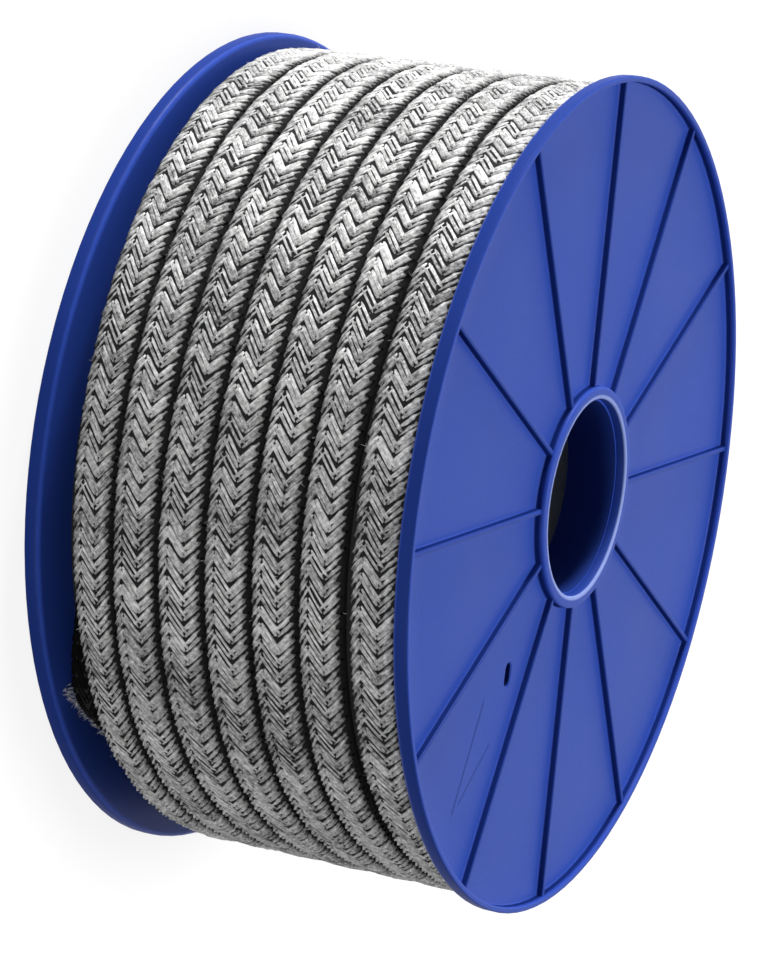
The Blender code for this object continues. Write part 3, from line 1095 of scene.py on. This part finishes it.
def addCutEnd():
    shares = [step / cutEnd["columns"] for step in range(cutEnd["columns"] + 1)]
    body = skin("endBody", [endColumn(share) for share in shares], capped=True)
    cutAcross(body)
    shadeRound(body, turns["smoothTo"])
    dress(addObject("packing_end_body", body, turnShadow), "graphite_braid", "packing_winding")
    path = alongPath("endPath", [pathPoint(*endEdges(share)) for share in shares])
    # its braid takes the darker yarn, painted shade
    braided = grow("packing_end_braid", path, alongTree, Chevrons=chevrons,
                   Kinds=braid["variants"], Spacing=spacing, Jitter=braid["jitter"],
                   Seed=cutEnd["seed"], Finish=shadedEndYarn)
    cutAcross(braided.data)
    dress(braided, "graphite_braid", "packing_winding")


def addFibres():
    single = addObject("fibre", fibreMesh())
    strewTree = fibreTree()
    fray = grow("packing_fray", frayedFace(), strewTree, Fibre=single,
                Density=cutEnd["density"], Shortest=cutEnd["shortest"],
                Longest=cutEnd["longest"], Spread=cutEnd["spread"], Seed=cutEnd["seed"],
                Finish=looseFibre)
    fuzz = grow("packing_fuzz", strands.data.copy(), strewTree, Fibre=single,
                Density=fibre["fuzzDensity"], Shortest=fibre["fuzzShortest"],
                Longest=fibre["fuzzLongest"], Spread=fibre["fuzzSpread"], Seed=fibre["seed"],
                Finish=looseFibre)
    for piece in (fray, fuzz):
        dress(piece, "graphite_braid", "packing_winding")
        print(piece.name + ":", countTriangles(piece), "triangles")
    bpy.data.objects.remove(single)


addCutEnd()
addFibres()
dropGroup(chevrons)
print("turns: cut end and loose fibres done")

camera = {
    "elevation": math.radians(23.4721),
    "distance": 8.6287 * reel["radius"],
    "roll": math.radians(99.8366),
    "yaw": -0.0064,          # radians
    "pitch": -0.0038,
    "lens": 133.53,
    "sensor": 36.0,
    "clip": (0.01, 50.0),
}


def addCamera():
    # level camera looking at the reel's middle, then rolled, yawed and pitched
    rise, roll = camera["elevation"], camera["roll"]
    back = Vector((math.cos(rise), 0.0, math.sin(rise)))
    right = Vector((0.0, 1.0, 0.0))
    up = Vector((-math.sin(rise), 0.0, math.cos(rise)))
    right, up = (math.cos(roll) * right + math.sin(roll) * up,
                 math.cos(roll) * up - math.sin(roll) * right)
    ahead = -back
    ahead, right = (math.cos(camera["yaw"]) * ahead + math.sin(camera["yaw"]) * right,
                    math.cos(camera["yaw"]) * right - math.sin(camera["yaw"]) * ahead)
    ahead, up = (math.cos(camera["pitch"]) * ahead + math.sin(camera["pitch"]) * up,
                 math.cos(camera["pitch"]) * up - math.sin(camera["pitch"]) * ahead)
    spot = Vector((0.0, 0.0, reel["width"] / 2)) + camera["distance"] * back
    data = bpy.data.cameras.new("camera")
    data.sensor_fit = "VERTICAL"
    data.sensor_height = camera["sensor"]
    data.lens = camera["lens"]
    data.clip_start, data.clip_end = camera["clip"]
    eye = bpy.data.objects.new("camera", data)
    bpy.context.scene.collection.objects.link(eye)
    turn = Matrix((right, up, -ahead)).transposed().to_4x4()
    eye.matrix_world = Matrix.Translation(spot) @ turn
    bpy.context.scene.camera = eye


addCamera()

studio = {
    "white": (1.0, 1.0, 1.0, 1.0),
    "floorSize": 6.0,
    "floorDrop": 0.0002,         # keeps the floor clear of the reel's face
    "floorGlow": (0.86, 1.0),    # near the reel, where the shadow lies, and far from it
    "floorFade": (0.26, 0.62),
    "floorColour": (0.16, 0.16, 0.17, 1.0),
    "floorRoughness": 0.9,
    "worldLevel": 0.05,
    # (name, place, size, watts)
    "lamps": (("face", (-0.12, 0.0, 1.25), 0.30, 11.5),
              ("top", (0.04, -1.19, 0.16), 0.26, 18.5),
              ("front", (0.80, -0.99, 0.14), 0.30, 7.4),
              ("low", (0.95, 0.77, 0.14), 0.30, 5.2)),
    "aim": (0.0, 0.0, 0.05),
}


def seenMask(tree):
    # 1 for what the camera, a reflection or clear material sees, 0 for the light on the reel
    rays = addNode(tree, "ShaderNodeLightPath").outputs
    direct = maths(tree, "MAXIMUM", rays["Is Camera Ray"], rays["Is Glossy Ray"])
    return maths(tree, "MAXIMUM", direct, rays["Is Transmission Ray"])


def addFloor():
    bm = bmesh.new()
    bmesh.ops.create_grid(bm, x_segments=8, y_segments=8, size=studio["floorSize"] / 2)
    mesh = bpy.data.meshes.new("floor")
    bm.to_mesh(mesh)
    bm.free()
    material, tree, shader = newMaterial("paleFloor")
    shader.inputs["Base Color"].default_value = studio["floorColour"]
    shader.inputs["Roughness"].default_value = studio["floorRoughness"]
    away = axisDistance(tree, objectAxes(tree))
    glow = remap(tree, away, *studio["floorFade"], *studio["floorGlow"])
    shader.inputs["Emission Color"].default_value = studio["white"]
    tree.links.new(maths(tree, "MULTIPLY", seenMask(tree), glow),
                   shader.inputs["Emission Strength"])
    floor = addObject("floor", mesh, material)
    floor.location.z = -studio["floorDrop"]


def addLamps():
    for name, place, size, watts in studio["lamps"]:
        data = bpy.data.lights.new(name, "AREA")
        data.shape = "DISK"
        data.size = size
        data.energy = watts
        lamp = bpy.data.objects.new(name, data)
        bpy.context.scene.collection.objects.link(lamp)
        lamp.location = place
        aim = Vector(studio["aim"]) - Vector(place)
        lamp.rotation_euler = aim.to_track_quat("-Z", "Y").to_euler()


def addWorld():
    world = bpy.data.worlds.new("studio")
    bpy.context.scene.world = world
    world.use_nodes = True
    tree = world.node_tree
    shade = tree.nodes["Background"]
    shade.inputs["Color"].default_value = studio["white"]
    tree.links.new(remap(tree, seenMask(tree), 0.0, 1.0, studio["worldLevel"], 1.0),
                   shade.inputs["Strength"])


addFloor()
addLamps()
addWorld()
bpy.context.scene.view_settings.view_transform = "Standard"
print("studio: done")
